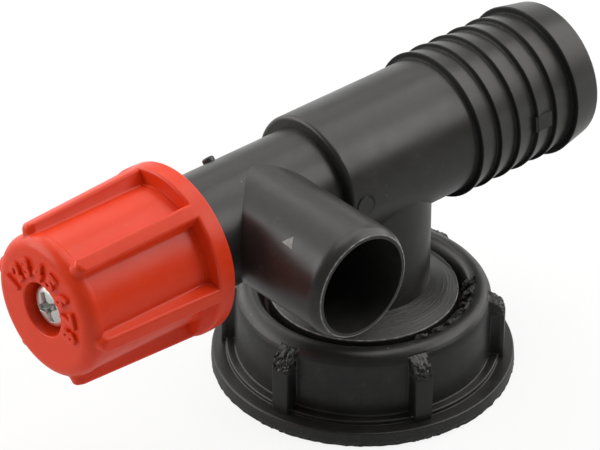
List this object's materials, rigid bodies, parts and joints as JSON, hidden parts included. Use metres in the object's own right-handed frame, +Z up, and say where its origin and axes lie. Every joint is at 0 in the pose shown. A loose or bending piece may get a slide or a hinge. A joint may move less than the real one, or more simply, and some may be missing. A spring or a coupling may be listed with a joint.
{
  "type": "ibc tank valve",
  "caption": "Black plastic tank outlet valve with a swivel coupling nut, barbed hose tail, side spout and a red screw-down knob.",
  "frame": {"origin": "centre of the coupling nut's open mouth, in the plane that the nut stands on", "axes": "+Z up the nut's and riser's axis, +X along the main tube towards the hose tail, -Y along the side spout"},
  "size_m": [0.1661, 0.0825, 0.0837],
  "materials": {
    "body_plastic": "satin black moulded polypropylene",
    "nut_plastic": "satin black moulded polypropylene",
    "knob_plastic": "satin-gloss red moulded plastic",
    "acetal": "machined off-white acetal",
    "seal_rubber": "smooth black rubber",
    "slip_fibre": "red-brown fibre",
    "dark_steel": "blackened steel",
    "spring_steel": "stainless steel",
    "zinc_steel": "zinc-plated steel",
    "brass": "turned brass"
  },
  "bodies": {
    "valve": {"valve_body": "body_plastic", "stop_pin": "dark_steel", "bonnet": "body_plastic", "bonnet_seal": "seal_rubber", "outlet_gasket": "seal_rubber", "slip_ring": "slip_fibre"},
    "nut": {"coupling_nut": "nut_plastic"},
    "jumper": {"jumper": "acetal", "jumper_clip": "spring_steel", "seat_washer": "seal_rubber", "washer_retainer": "spring_steel", "washer_screw": "spring_steel"},
    "spindle": {"spindle": "acetal", "spindle_o_ring_inner": "seal_rubber", "spindle_o_ring_outer": "seal_rubber", "spindle_thread_insert": "brass", "knob": "knob_plastic", "knob_flat_washer": "zinc_steel", "knob_spring_washer": "zinc_steel", "knob_screw": "zinc_steel"}
  },
  "joints": [
    {"name": "nut_spin", "type": "hinge", "parent": "valve", "child": "nut", "pos_m": [0, 0, 0.01], "axis": [0, 0, 1], "continuous": true},
    {"name": "jumper_lift", "type": "slide", "parent": "valve", "child": "jumper", "axis": [-1, 0, 0], "range_m": [0, 0.008]},
    {"name": "knob_turn", "type": "hinge", "parent": "jumper", "child": "spindle", "pos_m": [-0.08, 0, 0.0617], "axis": [-1, 0, 0], "range_deg": [0, 720]}
  ],
  "couplings": [
    {"joint": "jumper_lift", "follows": "knob_turn", "m_per_rad": 0.0006366}
  ]
}
